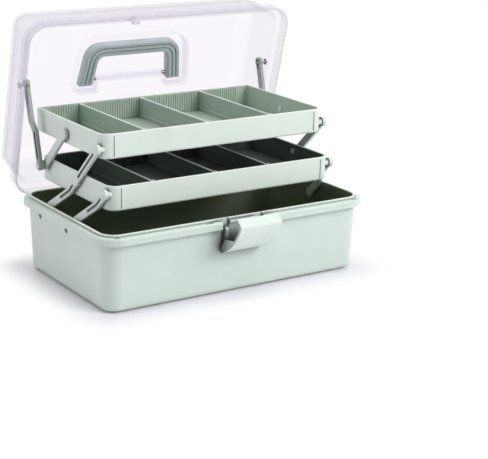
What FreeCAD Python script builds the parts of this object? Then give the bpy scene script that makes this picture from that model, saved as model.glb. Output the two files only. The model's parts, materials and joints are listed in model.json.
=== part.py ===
"""Three-layer art supply box: base, two cantilever trays, clear lid, folding handle and latch.

Millimetres. Origin at the centre of the base underside, +X to the right, -Y to the front, +Z up.
The rest pose is the open box: lid raised, both trays lifted, handle folded, latch swung out.
"""
import FreeCAD
import Part

import math
import os

# Overall sizes
rim_width = 326.0             # across the base rim, outside
rim_depth = 198.5             # front to back over the base rim, outside
base_height = 83.0            # underside to the top of the rim's lip
lid_height = 67.0             # rim top to roof, lid closed

# Base moulding
rim_reach = 8.0               # rim flange, from the mouth to its outer face
rim_skirt_drop = 7.8          # turned-down outer skirt of the flange
rim_skirt_wall = 2.2
rim_plate = 2.6               # flange thickness
rim_edge_round = 2.0
rim_lip_width = 2.2           # raised lip round the mouth
rim_lip_height = 2.4          # lip above the flange
base_wall = 2.4
base_floor = 2.6
base_draft = 2.3              # degrees
mouth_corner = 16.0           # plan radius of the mouth
base_bottom_round = 8.0

# Lid moulding
lid_seat_gap = 0.3            # closed lid above the flange
lid_skirt_height = 12.0
lid_step = 7.0                # shelf between the skirt and the upper walls
lid_wall = 2.2
lid_draft = 3.7               # degrees
roof_round = 16.0
lid_open_angle = 76.0         # degrees from closed to the open stop

# Lid hinges at the back
hinge_inset = 0.5             # hinge axis in from the outer face of the rim
hinge_drop = 9.5              # hinge axis below the rim top
hinge_radius = 5.0
hinge_pin_radius = 2.0
hinge_from_end = 65.0         # from the end of the rim to each hinge
hinge_lid_knuckle = 14.0
hinge_base_knuckle = 8.0
hinge_side_gap = 0.4
hinge_swing_gap = 0.6

# Trays
tray_side_room = 19.0         # mouth to the tray's side, where the links run
tray_end_room = 16.25         # mouth to the tray's front and back
tray_height = 26.0
tray_wall = 2.2
tray_floor = 2.0
tray_front_corner = 12.0
tray_rear_corner = 4.0
tray_bottom_round = 2.5
tray_lip_round = 0.6
tray_panel_inset = 13.0       # corner to the upright groove on the front panel
tray_panel_groove = 1.2
tray_panel_groove_depth = 0.7
tray_panel_margin = 2.5

# Dividers and the combs that hold them
comb_pitch = 3.0
comb_tooth = 1.2
comb_depth = 0.9
comb_top_drop = 2.2           # comb below the tray rim
divider_side_gap = 0.2        # divider's tongue in its comb gap, each side
divider_border_rise = 0.7     # raised border on each face
divider_border = 4.6
divider_top_drop = 1.2        # below the tray rim
divider_tab_length = 2.4      # small tab at the front end
divider_tab_rise = 1.4
divider_end_gap = 0.25
divider_floor_gap = 0.1
upper_divider_shares = (-0.305, -0.033, 0.257)   # places as shares of the tray width
lower_divider_shares = (-0.305, -0.037, 0.213)

# Cantilever linkage, in the side view
base_pivot_drop = 16.0        # base pivots below the rim top
rear_pivot_from_mouth = 37.25
base_pivot_spacing = 60.0
lower_link_length = 68.6      # base pivot to lower tray pivot
upper_link_length = 62.0      # lower tray pivot to upper tray pivot
link_open_angle = 43.4        # degrees above level, leaning forward
link_closed_angle = 18.0
rear_link_setback = 12.3      # back of the lower tray to the upper rear link
rear_link_rise = 1.0          # upper rear link's pivot above the long link's
front_pivot_setback = 5.9     # front of a tray to its front pivot
lower_pivot_below_top = 8.6
upper_pivot_above_floor = 10.0
lid_pivot_from_hinge_y = -0.75  # open
lid_pivot_from_hinge_z = 125.1  # open

# Link mouldings
link_thickness = 3.6
link_width = 8.0
link_boss_radius = 5.2
link_side_gap = 0.4
link_skin = 0.9               # closed outer face over a blind pivot hole
link_groove_width = 3.2
link_groove_depth = 2.3
link_groove_margin = 7.5      # pivot to the end of a groove
link_groove_lead = 12.0       # groove before the end of a joggle
link_dome_radius = 4.6        # domed cap over a blind pivot
link_dome_height = 1.3
lid_link_spacing = 2.6        # upper rear link to the lid link, beyond the side gap
tray_boss_height = 0.6
tray_boss_radius = 3.2
wall_boss_radius = 5.2
wall_pad_gap = 1.0            # base wall to the link's wall pad, at the mouth
joggle_start = 20.0           # along a base link
joggle_run = 28.0
lid_link_joggle_start = 36.0
lid_link_joggle_run = 12.0
lid_link_lid_gap = 3.0        # lid wall to the lid link, at the lid pivot
lid_slot_side_play = 1.25     # room for the lid pin across the slot
lid_slot_end_play = 0.6

# Pivot pins
pin_radius = 2.25
pin_running_gap = 0.08
pin_seat_gap = 0.02
pin_head_radius = 3.0
pin_head_height = 1.4
pin_end_gap = 0.25
base_pin_recess = 0.5         # pin end below the outside of the base wall
base_pin_well_radius = 3.3    # shallow well round the pin end
base_pin_well_depth = 1.3
rear_pin_cap_radius = 3.6     # staked outer end of the lower tray's rear pins
rear_pin_cap_height = 1.5
lid_pin_radius = 1.6
lid_pin_head_radius = 3.4
lid_pin_head_height = 1.2
lid_boss_radius = 5.0

# Folding handle and its recess in the roof
handle_foot_half = 65.0       # middle of the box to the outside of a foot
handle_shoulder_half = 58.0
handle_reach = 48.8           # foot end to the outside of the grip
handle_grip = 14.8
handle_foot_width = 16.5
handle_shoulder_inner_inset = 14.5
handle_thickness = 11.0
handle_outer_corner = 19.0
handle_inner_corner = 8.0
handle_edge_round = 2.6
handle_foot_end_y = 4.2       # lid closed
handle_pivot_from_end = 6.5
handle_groove_width = 1.5
handle_groove_depth = 1.1
handle_groove_stations = (0.34, 0.64)   # share of the way across the bar
handle_groove_foot_margin = 3.0
handle_pin_radius = 2.2
handle_pin_grip = 7.0         # pin length inside a foot
handle_pin_reach = 2.6        # pin length inside the recess wall
recess_margin = 7.0           # recess round the handle, at the sides and front
recess_rear_margin = 5.0
recess_floor_gap = 1.0        # under the folded handle
recess_corner = 20.0
recess_wall = 2.0
recess_block_gap = 2.8        # handle foot to the block between the feet
recess_block_front = 2.0      # block front face, ahead of the handle pivot

# Front latch
latch_width = 50.0
latch_drop = 36.5             # plate's lower edge below the rim top
latch_stop_gap = 0.6          # open toe off the base wall
latch_plate = 2.6
latch_foot_out = 1.0          # closed plate's outside ahead of the rim outer face, at its foot
latch_bow_out = 9.2           # at its fullest
latch_head_out = 5.6          # at the top
latch_bow_share = 0.52        # fullest point, as a share of the plate's height
latch_lip_reach = 5.5         # top lip over the lid shelf, behind the rim outer face
latch_lip_gap = 0.6           # lip above the lid shelf
latch_lip_thickness = 2.4
latch_roll = 5.0              # outer radius where the plate turns into the lip
latch_roll_inner = 2.2
latch_edge_round = 1.0
latch_cheek = 2.4
latch_cheek_share = 0.6       # of the plate's height
latch_cheek_back = 4.75       # upper corner of a cheek, behind the rim outer face
latch_cheek_rise = 15.5       # and above the plate's foot
latch_toe_back = 3.55
latch_toe_rise = 2.0
latch_hub_radius = 3.4        # round the pivot
latch_pivot_back = 1.5        # pivot behind the rim outer face
latch_pivot_drop = 29.5       # pivot below the rim top
latch_lug_width = 3.8
latch_lug_gap = 0.8           # lug to cheek
latch_lug_low = 4.0           # lug below the pivot
latch_lug_high = 20.5         # lug above the pivot
latch_lug_back = 1.0          # lug's front behind the rim outer face
latch_lug_round = 2.6
latch_pin_radius = 1.5
latch_pin_grip = 1.4          # pin length inside a cheek
latch_slot_clear = 1.0        # rim slot beyond the cheek
latch_slot_inner_half = 15.5
latch_slot_depth = 7.0        # rim slot, in from the rim outer face
latch_bar_setback = 2.6       # rim bar between the slots, behind the rim outer face

# Small slots in the flange near the front corners
corner_slot_inset = 9.0       # from the mouth's side
corner_slot_width = 6.0
corner_slot_depth = 2.4

# Locating tab on the lid and its slot in the rim
tab_x = -40.0
tab_width = 8.0
tab_depth = 5.0               # below the closed lid's skirt
tab_thickness = 2.2
tab_gap = 0.5

X_AXIS = FreeCAD.Vector(1, 0, 0)
ORIGIN = FreeCAD.Vector(0, 0, 0)

# Values that follow from the sizes above
mouth_width = rim_width - 2 * rim_reach
mouth_depth = rim_depth - 2 * rim_reach
rim_corner = mouth_corner + rim_reach
flange_z = base_height - rim_lip_height
half_rim_y = rim_depth / 2
hinge_station = rim_width / 2 - hinge_from_end
tray_width = mouth_width - 2 * tray_side_room
tray_depth = mouth_depth - 2 * tray_end_room
shelf_z = base_height + lid_skirt_height
roof_z = base_height + lid_height
hinge_y = half_rim_y - hinge_inset
hinge_z = base_height - hinge_drop
base_pivot_z = base_height - base_pivot_drop
base_rear_pivot_y = mouth_depth / 2 - rear_pivot_from_mouth
base_front_pivot_y = base_rear_pivot_y - base_pivot_spacing
latch_bottom_z = base_height - latch_drop
open_lean = math.radians(link_open_angle)
closed_lean = math.radians(link_closed_angle)


def vec(x, y, z):
    """Short form of a FreeCAD vector."""
    return FreeCAD.Vector(x, y, z)


def along_link(start, length, lean):
    """Point (y, z) at a length along a link that leans forward from level by an angle in radians."""
    return (start[0] - length * math.cos(lean), start[1] + length * math.sin(lean))


# Pivot places in the open pose, as (y, z)
base_rear = (base_rear_pivot_y, base_pivot_z)
base_front = (base_front_pivot_y, base_pivot_z)
lower_front = along_link(base_front, lower_link_length, open_lean)
lower_middle = along_link(base_rear, lower_link_length, open_lean)
lower_tray_middle_y = lower_front[0] - front_pivot_setback + tray_depth / 2
lower_rear = (lower_tray_middle_y + tray_depth / 2 - rear_link_setback, lower_middle[1] + rear_link_rise)
upper_front = along_link(lower_middle, upper_link_length, open_lean)
upper_rear = along_link(lower_rear, upper_link_length, open_lean)
upper_tray_middle_y = upper_front[0] - front_pivot_setback + tray_depth / 2
lid_pivot = (hinge_y + lid_pivot_from_hinge_y, hinge_z + lid_pivot_from_hinge_z)
lower_tray_top = lower_middle[1] + lower_pivot_below_top
lower_tray_bottom = lower_tray_top - tray_height
upper_tray_bottom = upper_front[1] - upper_pivot_above_floor

# Side-view layers, as distances from the middle of the box
tray_face = tray_width / 2
inner_layer = tray_face + tray_boss_height + link_side_gap
second_layer = inner_layer + link_thickness + link_side_gap + lid_link_spacing
wall_layer = mouth_width / 2 - wall_pad_gap - link_thickness


def outline(width, depth, front_radius, rear_radius, z, middle_y=0.0):
    """Closed wire of a rectangle with rounded corners, level at height z."""
    right = width / 2
    front = middle_y - depth / 2
    rear = middle_y + depth / 2
    corners = [(right, front, front_radius), (right, rear, rear_radius),
               (-right, rear, rear_radius), (-right, front, front_radius)]
    return rounded_wire(corners, lambda x, y: vec(x, y, z))


def rounded_wire(corners, place):
    """Closed wire through corners (u, v, radius), with a tangent arc at each corner that has a radius."""
    runs = []
    count = len(corners)
    for index in range(count):
        u, v, radius = corners[index]
        before = corners[index - 1]
        after = corners[(index + 1) % count]
        if radius <= 0:
            runs.append(((u, v), None, (u, v)))
            continue
        to_before = unit(before[0] - u, before[1] - v)
        to_after = unit(after[0] - u, after[1] - v)
        cosine = to_before[0] * to_after[0] + to_before[1] * to_after[1]
        half = math.acos(max(-1.0, min(1.0, cosine))) / 2
        reach = radius / math.tan(half)
        start = (u + to_before[0] * reach, v + to_before[1] * reach)
        end = (u + to_after[0] * reach, v + to_after[1] * reach)
        bisector = unit(to_before[0] + to_after[0], to_before[1] + to_after[1])
        depth = radius / math.sin(half) - radius
        middle = (u + bisector[0] * depth, v + bisector[1] * depth)
        runs.append((start, middle, end))
    edges = []
    for index in range(count):
        start, middle, end = runs[index]
        if middle is not None:
            edges.append(Part.Arc(place(*start), place(*middle), place(*end)).toShape())
        following = runs[(index + 1) % count][0]
        if math.dist(end, following) > 1e-6:
            edges.append(Part.makeLine(place(*end), place(*following)))
    return Part.Wire(edges)


def unit(u, v):
    """Unit vector of a pair."""
    length = math.hypot(u, v)
    return (u / length, v / length)


def slab(wire, thickness):
    """Solid raised from a level wire."""
    return Part.Face(wire).extrude(vec(0, 0, thickness))


def side_slab(corners, x_low, x_high):
    """Solid from corners (y, z, radius) in the side view, running across X."""
    wire = rounded_wire(corners, lambda y, z: vec(x_low, y, z))
    return Part.Face(wire).extrude(vec(x_high - x_low, 0, 0))


def box(low, high):
    """Box between two corners."""
    return Part.makeBox(high[0] - low[0], high[1] - low[1], high[2] - low[2], vec(*low))


def rod(radius, x_low, x_high, place):
    """Cylinder along X through a side-view place (y, z)."""
    return Part.makeCylinder(radius, x_high - x_low, vec(x_low, place[0], place[1]), X_AXIS)


def fused(shapes):
    """One clean solid from shapes that meet."""
    return shapes[0].multiFuse(shapes[1:]).removeSplitter()


def mirrored(shape):
    """The same piece for the left side."""
    return shape.mirror(ORIGIN, X_AXIS)


def turned(shape, place, degrees):
    """Copy turned about X through a side-view place (y, z)."""
    copy = shape.copy()
    copy.rotate(vec(0, place[0], place[1]), X_AXIS, degrees)
    return copy


def opened_lid(shape):
    """A lid piece modelled closed, swung up to the rest pose."""
    return turned(shape, (hinge_y, hinge_z), -lid_open_angle)


def level_edges(shape, z):
    """Edges that lie wholly at height z."""
    return [e for e in shape.Edges if abs(e.BoundBox.ZMin - z) < 1e-4 and abs(e.BoundBox.ZMax - z) < 1e-4]


def tapered(width, depth, corner, z_wide, z_narrow, draft):
    """Block with drafted walls: full size at z_wide, drawn in at z_narrow."""
    inset = abs(z_narrow - z_wide) * math.tan(math.radians(draft))
    wide = outline(width, depth, corner, corner, z_wide)
    narrow = outline(width - 2 * inset, depth - 2 * inset, corner - inset, corner - inset, z_narrow)
    return Part.makeLoft([wide, narrow], True, True)


def base_wall_y(z):
    """Outer face of the front wall at height z, as a distance from the middle."""
    inset = (base_height - z) * math.tan(math.radians(base_draft))
    return mouth_depth / 2 + base_wall - inset


def base_wall_x(z):
    """Outer face of a side wall at height z, as a distance from the middle."""
    return base_wall_y(z) + (mouth_width - mouth_depth) / 2


def base_shell():
    """Tub with a flanged rim, hinge lugs, pivot bosses and latch lugs."""
    outer = tapered(mouth_width + 2 * base_wall, mouth_depth + 2 * base_wall,
                    mouth_corner + base_wall, base_height, 0.0, base_draft)
    outer = outer.makeFillet(base_bottom_round, level_edges(outer, 0.0))
    inner = tapered(mouth_width, mouth_depth, mouth_corner, base_height, base_floor, base_draft)
    inner = inner.makeFillet(base_bottom_round - base_wall, level_edges(inner, base_floor))

    shell = fused([outer, rim_flange()])
    shell = cut_latch_bay(shell)
    shell = cut_hinge_bays(shell)
    shell = fused([shell] + hinge_lugs() + latch_lugs() + wall_bosses())
    shell = shell.cut(inner)
    shell = fused([shell] + [b.common(inner) for b in wall_bosses()])
    holes = [rod(pin_radius + pin_seat_gap, wall_layer, rim_width / 2, p) for p in (base_rear, base_front)]
    wells = [rod(base_pin_well_radius, base_wall_x(p[1]) - base_pin_well_depth, rim_width / 2, p)
             for p in (base_rear, base_front)]
    holes += wells
    holes += [mirrored(h) for h in holes]
    holes += [rod(hinge_pin_radius + pin_seat_gap, low, high, (hinge_y, hinge_z))
              for low, high in hinge_spans()]
    holes += [rod(latch_pin_radius + pin_seat_gap, low, high, latch_pivot())
              for low, high in latch_pin_spans()]
    holes.append(box((tab_x - tab_width / 2 - tab_gap, tab_y() - tab_gap, flange_z - 2 * rim_plate),
                     (tab_x + tab_width / 2 + tab_gap, tab_y() + tab_thickness + tab_gap, base_height + 1)))
    return shell.cut(Part.makeCompound(holes)).removeSplitter()


def rim_flange():
    """Flange with a turned-down skirt and a raised lip round the mouth."""
    skirt_low = flange_z - rim_skirt_drop
    rim = slab(outline(rim_width, rim_depth, rim_corner, rim_corner, skirt_low), rim_skirt_drop)
    inside = rim_skirt_wall
    rim = rim.cut(slab(outline(rim_width - 2 * inside, rim_depth - 2 * inside, rim_corner - inside,
                               rim_corner - inside, skirt_low), rim_skirt_drop - rim_plate))
    rim = rim.makeFillet(rim_edge_round, level_edges(rim, flange_z))
    lip_corner = mouth_corner + rim_lip_width
    lip = slab(outline(mouth_width + 2 * rim_lip_width, mouth_depth + 2 * rim_lip_width, lip_corner, lip_corner,
                       flange_z - rim_plate / 2), rim_lip_height + rim_plate / 2)
    lip = lip.makeFillet(rim_lip_height / 3, level_edges(lip, base_height))
    slots = []
    for side in (-1, 1):
        middle = side * (mouth_width / 2 - corner_slot_inset)
        slots.append(box((middle - corner_slot_width / 2, corner_slot_y(), flange_z - 2 * rim_plate),
                         (middle + corner_slot_width / 2, corner_slot_y() + corner_slot_depth, flange_z + 1)))
    return fused([rim, lip]).cut(Part.makeCompound(slots))


def corner_slot_y():
    """Front of the small slots near the front corners of the flange."""
    return -mouth_depth / 2 - rim_lip_width - corner_slot_depth


def wall_bosses():
    """Round pads inside the side walls that space the base links from the wall."""
    face = wall_layer + link_thickness + link_side_gap
    root = mouth_width / 2 + base_wall / 2
    bosses = [rod(wall_boss_radius, face, root, p) for p in (base_rear, base_front)]
    return bosses + [mirrored(b) for b in bosses]


def hinge_spans():
    """Ends in X of the two hinge pins."""
    half = hinge_lid_knuckle / 2 + hinge_side_gap + hinge_base_knuckle
    return [(side * hinge_station - half, side * hinge_station + half) for side in (-1, 1)]


def hinge_lugs():
    """Two knuckles under the rim at each hinge, webbed to the back wall."""
    lugs = []
    root = base_wall_y(hinge_z) - base_wall / 2
    for low, high in hinge_spans():
        for start in (low, high - hinge_base_knuckle):
            end = start + hinge_base_knuckle
            web = box((start, root, hinge_z - hinge_radius), (end, hinge_y, hinge_z + hinge_radius))
            lugs.append(web)
            lugs.append(rod(hinge_radius, start, end, (hinge_y, hinge_z)))
    return lugs


def cut_hinge_bays(shell):
    """Notch the rim where the lid knuckles swing."""
    for low, high in hinge_spans():
        bay_low = low + hinge_base_knuckle
        bay_high = high - hinge_base_knuckle
        bay = box((bay_low, hinge_y - hinge_radius - hinge_swing_gap, base_height - 2 * rim_skirt_drop),
                  (bay_high, half_rim_y + hinge_radius, base_height + rim_plate))
        shell = shell.cut(bay)
    return shell


def latch_pivot():
    """Latch axis, as (y, z)."""
    return (-half_rim_y + latch_pivot_back, base_height - latch_pivot_drop)


def latch_toe():
    """Inner corner at the foot of the closed latch's cheek, as (y, z)."""
    return (-half_rim_y + latch_toe_back, latch_bottom_z + latch_toe_rise)


def latch_stop_angle():
    """Degrees the latch swings out until its toe comes to the base wall."""
    pivot_y, pivot_z = latch_pivot()
    toe_y, toe_z = latch_toe()
    toe = math.dist(latch_pivot(), latch_toe())
    start = math.atan2(pivot_z - toe_z, toe_y - pivot_y)
    low = 0.0
    high = math.pi / 2
    for _ in range(40):
        swing = (low + high) / 2
        swung_y = pivot_y + toe * math.cos(start - swing)
        swung_z = pivot_z - toe * math.sin(start - swing)
        if swung_y < -base_wall_y(swung_z) - latch_stop_gap:
            low = swing
        else:
            high = swing
    return math.degrees(low)


def latch_cheek_inner():
    """Inside of a latch cheek, from the middle of the box."""
    return latch_width / 2 - latch_cheek


def latch_lugs():
    """Two upright lugs on the front wall that carry the latch."""
    pivot_z = latch_pivot()[1]
    low_z = pivot_z - latch_lug_low
    high_z = pivot_z + latch_lug_high
    root = -base_wall_y(low_z) + base_wall / 2
    front = -half_rim_y + latch_lug_back
    high = latch_cheek_inner() - latch_lug_gap
    low = high - latch_lug_width
    lug = side_slab([(root, low_z, 0), (root, high_z, 0), (front, high_z, latch_lug_round),
                     (front, low_z, latch_lug_round)], low, high)
    return [lug, mirrored(lug)]


def latch_pin_spans():
    """Ends in X of the two latch pins."""
    low = latch_cheek_inner() - latch_lug_gap - latch_lug_width
    high = latch_cheek_inner() + latch_pin_grip
    return [(low, high), (-high, -low)]


def cut_latch_bay(shell):
    """Rim slots for the latch cheeks, with a set-back bar between them."""
    outer = latch_width / 2 + latch_slot_clear
    low_z = flange_z - rim_skirt_drop - 1
    high_z = base_height + rim_plate
    front = -half_rim_y - rim_reach
    for side in (-1, 1):
        ends = sorted((side * latch_slot_inner_half, side * outer))
        shell = shell.cut(box((ends[0], front, low_z), (ends[1], -half_rim_y + latch_slot_depth, high_z)))
    return shell.cut(box((-latch_slot_inner_half, front, low_z),
                         (latch_slot_inner_half, -half_rim_y + latch_bar_setback, high_z)))


def tab_y():
    """Front of the lid's locating tab."""
    return -half_rim_y + rim_skirt_wall + tab_gap


def lid_wall_x(z, inside):
    """Side wall of the closed lid at height z, outer or inner face, from the middle."""
    face = rim_width / 2 - lid_step - (lid_wall if inside else 0.0)
    return face - (z - shelf_z) * math.tan(math.radians(lid_draft))


def lid_pivot_at(degrees):
    """The lid link's pivot on the lid, closed by an angle from the open pose, as (y, z)."""
    angle = math.radians(degrees)
    y = lid_pivot_from_hinge_y
    z = lid_pivot_from_hinge_z
    return (hinge_y + y * math.cos(angle) - z * math.sin(angle),
            hinge_z + y * math.sin(angle) + z * math.cos(angle))


def lid_pivot_closed():
    """The lid link's pivot on the closed lid, as (y, z)."""
    return lid_pivot_at(lid_open_angle)


def lid_pin_runs():
    """Least and greatest distance from the lower tray's rear pivot to the lid pin while the lid swings."""
    runs = []
    steps = 20
    for step in range(steps + 1):
        share = step / steps
        lean = open_lean + (closed_lean - open_lean) * share
        pivot = (lower_rear[0] - lower_link_length * (math.cos(lean) - math.cos(open_lean)),
                 lower_rear[1] + lower_link_length * (math.sin(lean) - math.sin(open_lean)))
        runs.append(math.dist(pivot, lid_pivot_at(lid_open_angle * share)))
    return min(runs), max(runs)


def lid_shell():
    """Clear lid with a stepped skirt, a handle recess, hinge knuckles and pivot bosses, in the open pose."""
    skirt_z = flange_z + lid_seat_gap
    skirt = slab(outline(rim_width, rim_depth, rim_corner, rim_corner, skirt_z), shelf_z - skirt_z)
    crown_width = rim_width - 2 * lid_step
    crown_depth = rim_depth - 2 * lid_step
    crown_corner = rim_corner - lid_step
    crown = tapered(crown_width, crown_depth, crown_corner, shelf_z - lid_wall, roof_z, lid_draft)
    crown = crown.makeFillet(roof_round, level_edges(crown, roof_z))
    inset = lid_wall
    hollow_corner = rim_corner - inset
    hollow_skirt = slab(outline(rim_width - 2 * inset, rim_depth - 2 * inset, hollow_corner, hollow_corner,
                                skirt_z - 1), shelf_z - lid_wall - skirt_z + 1)
    hollow = tapered(crown_width - 2 * inset, crown_depth - 2 * inset, crown_corner - inset,
                     shelf_z - 2 * lid_wall, roof_z - lid_wall, lid_draft)
    hollow = hollow.makeFillet(roof_round - lid_wall, level_edges(hollow, roof_z - lid_wall))
    shell = fused([skirt, crown]).cut(fused([hollow_skirt, hollow]))
    shell = fused([shell, recess_body(recess_wall)]).cut(recess_body(0.0))
    shell = fused([shell] + lid_knuckles() + lid_bosses() + [locating_tab()])
    closed = lid_pivot_closed()
    reach = rim_width / 2
    holes = [rod(lid_pin_radius + pin_seat_gap, reach / 2, reach, closed)]
    holes.append(mirrored(holes[0]))
    holes += [rod(hinge_pin_radius + pin_running_gap, low, high, (hinge_y, hinge_z))
              for low, high in hinge_spans()]
    holes += [rod(handle_pin_radius + pin_running_gap, low, high, handle_pivot())
              for low, high in handle_pin_spans()]
    return opened_lid(shell.cut(Part.makeCompound(holes)).removeSplitter())


def lid_knuckles():
    """One knuckle per hinge, hung from the back of the lid's skirt."""
    knuckles = []
    for side in (-1, 1):
        low = side * hinge_station - hinge_lid_knuckle / 2
        high = side * hinge_station + hinge_lid_knuckle / 2
        arm = box((low, hinge_y - hinge_radius + hinge_side_gap, hinge_z),
                  (high, half_rim_y, base_height + 2 * lid_wall))
        knuckles += [arm, rod(hinge_radius, low, high, (hinge_y, hinge_z))]
    return knuckles


def lid_link_outer():
    """Outer face of the lid link where it meets the lid."""
    return lid_wall_x(lid_pivot_closed()[1], True) - lid_link_lid_gap


def lid_bosses():
    """Round bosses inside and outside the lid walls at the link pivots."""
    closed = lid_pivot_closed()
    wall = lid_wall_x(closed[1], False)
    inner = rod(lid_boss_radius, lid_link_outer() + link_side_gap, wall - lid_wall / 2, closed)
    outer = rod(lid_boss_radius, wall - lid_wall / 2, lid_head_seat(), closed)
    return [inner, outer, mirrored(inner), mirrored(outer)]


def lid_head_seat():
    """Outer face of the lid boss, where the pin head sits."""
    closed = lid_pivot_closed()
    return lid_wall_x(closed[1] - lid_boss_radius, False) + tray_boss_height


def locating_tab():
    """Small tongue under the lid's front skirt that drops into the rim slot."""
    return box((tab_x - tab_width / 2, tab_y(), flange_z + lid_seat_gap - tab_depth),
               (tab_x + tab_width / 2, tab_y() + tab_thickness, shelf_z - lid_wall / 2))


def handle_pivot():
    """Handle axis on the closed lid, as (y, z)."""
    return (handle_foot_end_y - handle_pivot_from_end, roof_z - handle_thickness / 2 - 1)


def handle_pin_spans():
    """Ends in X of the two handle pins."""
    block = handle_foot_half - handle_foot_width - recess_block_gap
    low = block - handle_pin_reach
    high = handle_foot_half - handle_foot_width + handle_pin_grip
    return [(low, high), (-high, -low)]


def recess_body(wall):
    """Handle recess in the closed roof: the hollow itself, or with a wall thickness its casing."""
    pivot_y, pivot_z = handle_pivot()
    foot_swing = handle_edge_round + math.hypot(handle_pivot_from_end - handle_edge_round,
                                                handle_thickness / 2 - handle_edge_round)
    floor = pivot_z - foot_swing - recess_floor_gap - wall
    foot_half = handle_foot_half + recess_margin + wall
    shoulder_half = handle_shoulder_half + recess_margin + wall
    front = handle_foot_end_y - handle_reach - recess_margin - wall
    rear = handle_foot_end_y + recess_rear_margin + wall
    top = roof_z + 1 if wall == 0 else roof_z - lid_wall / 2
    corner = recess_corner + wall
    corners = [(shoulder_half, front, corner), (foot_half, rear, corner / 3)]
    corners += [(-x, y, r) for x, y, r in reversed(corners)]
    body = slab(rounded_wire(corners, lambda x, y: vec(x, y, floor)), top - floor)
    block_half = handle_foot_half - handle_foot_width - recess_block_gap - wall
    block_front = pivot_y - recess_block_front + wall
    block = box((-block_half, block_front, floor - 1), (block_half, rear + 1, top + 1))
    return body.cut(block)


def handle_corners(share):
    """Corners of a U-shaped line that lies a share of the way from the handle's outside to its inside."""
    front = handle_foot_end_y - handle_reach
    outer = [(handle_foot_half, handle_foot_end_y, 0), (handle_shoulder_half, front, handle_outer_corner)]
    inner = [(handle_foot_half - handle_foot_width, handle_foot_end_y, 0),
             (handle_shoulder_half - handle_shoulder_inner_inset, front + handle_grip, handle_inner_corner)]
    return [tuple(a + (b - a) * share for a, b in zip(o, i)) for o, i in zip(outer, inner)]


def handle_strip(near, far, z_low, z_high):
    """U-shaped strip of the handle between two shares of its width."""
    first = handle_corners(near)
    second = handle_corners(far)
    line = first + [(-x, y, r) for x, y, r in reversed(first)]
    back = [(-x, y, r) for x, y, r in second] + list(reversed(second))
    wire = rounded_wire(line + back, lambda x, y: vec(x, y, z_low))
    return Part.Face(wire).extrude(vec(0, 0, z_high - z_low))


def handle():
    """Folding carry handle with two grooves along each face, in the rest pose."""
    pivot_z = handle_pivot()[1]
    low = pivot_z - handle_thickness / 2
    high = pivot_z + handle_thickness / 2
    body = handle_strip(0.0, 1.0, low, high)
    body = body.makeFillet(handle_edge_round, level_edges(body, low) + level_edges(body, high))
    stop = handle_foot_end_y - handle_groove_foot_margin
    reach = 2 * handle_foot_half
    ahead = box((-reach, stop - 2 * handle_reach, low - 1), (reach, stop, high + 1))
    for station in handle_groove_stations:
        half = handle_groove_width / handle_grip / 2
        for z_low, z_high in ((low - 1, low + handle_groove_depth), (high - handle_groove_depth, high + 1)):
            body = body.cut(handle_strip(station - half, station + half, z_low, z_high).common(ahead))
    holes = [rod(handle_pin_radius + pin_seat_gap, start, end, handle_pivot())
             for start, end in handle_pin_spans()]
    return opened_lid(body.cut(Part.makeCompound(holes)).removeSplitter())


def handle_pins():
    """Two pins that run from the handle's feet into the recess."""
    pins = []
    for low, high in handle_pin_spans():
        pins.append(opened_lid(rod(handle_pin_radius, low + pin_end_gap, high - pin_end_gap, handle_pivot())))
    return Part.makeCompound(pins)


def tray_body(middle_y, bottom, pivots):
    """Open tray with upright grooves on its front, combs for the dividers and pivot bosses."""
    top = bottom + tray_height
    outer = slab(outline(tray_width, tray_depth, tray_front_corner, tray_rear_corner, bottom, middle_y),
                 tray_height)
    outer = outer.makeFillet(tray_bottom_round, level_edges(outer, bottom))
    inside = tray_wall
    hollow = slab(outline(tray_width - 2 * inside, tray_depth - 2 * inside, tray_front_corner - inside,
                          tray_rear_corner - inside, bottom + tray_floor, middle_y), tray_height)
    tray = outer.cut(hollow)
    tray = tray.makeFillet(tray_lip_round, level_edges(tray, top))
    bosses = [boss.cut(hollow) for boss in tray_bosses(pivots)]
    tray = fused([tray] + bosses + corner_bosses(pivots[0]) + combs(middle_y, bottom))
    front = middle_y - tray_depth / 2
    grooves = []
    for side in (-1, 1):
        x = side * (tray_width / 2 - tray_panel_inset)
        grooves.append(box((x - tray_panel_groove / 2, front - 1, bottom + tray_panel_margin),
                           (x + tray_panel_groove / 2, front + tray_panel_groove_depth, top - tray_panel_margin)))
    holes = []
    for place in pivots:
        hole = rod(pin_radius + pin_seat_gap, tray_face - 2 * tray_front_corner, inner_layer + 1, place)
        holes += [hole, mirrored(hole)]
    return tray.cut(Part.makeCompound(grooves + holes)).removeSplitter()


def tray_bosses(pivots):
    """Round bosses outside the tray walls, one for each pivot and side."""
    bosses = []
    for place in pivots:
        boss = rod(tray_boss_radius, tray_face - tray_front_corner / 2, tray_face + tray_boss_height, place)
        bosses += [boss, mirrored(boss)]
    return bosses


def corner_bosses(place):
    """Round bosses that fill the tray's front corners behind the front pivots."""
    boss = rod(pin_head_radius, tray_face - tray_front_corner, tray_face, place)
    return [boss, mirrored(boss)]


def comb(face_y, inward, bottom):
    """Row of upright teeth on a tray wall: face_y is its inner face and inward the way the teeth point."""
    half_count = int((tray_width / 2 - tray_wall - tray_front_corner) / comb_pitch)
    root = face_y - inward * tray_wall / 2
    tip = face_y + inward * comb_depth
    corners = [(-half_count * comb_pitch, root)]
    for index in range(-half_count, half_count):
        middle = (index + 0.5) * comb_pitch
        for x in (middle - comb_tooth / 2, middle + comb_tooth / 2):
            steps = (face_y, tip) if x < middle else (tip, face_y)
            corners += [(x, y) for y in steps]
    corners.append((half_count * comb_pitch, root))
    low = bottom + tray_floor / 2
    high = bottom + tray_height - comb_top_drop
    wire = rounded_wire([(x, y, 0) for x, y in corners], lambda x, y: vec(x, y, low))
    return slab(wire, high - low)


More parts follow.
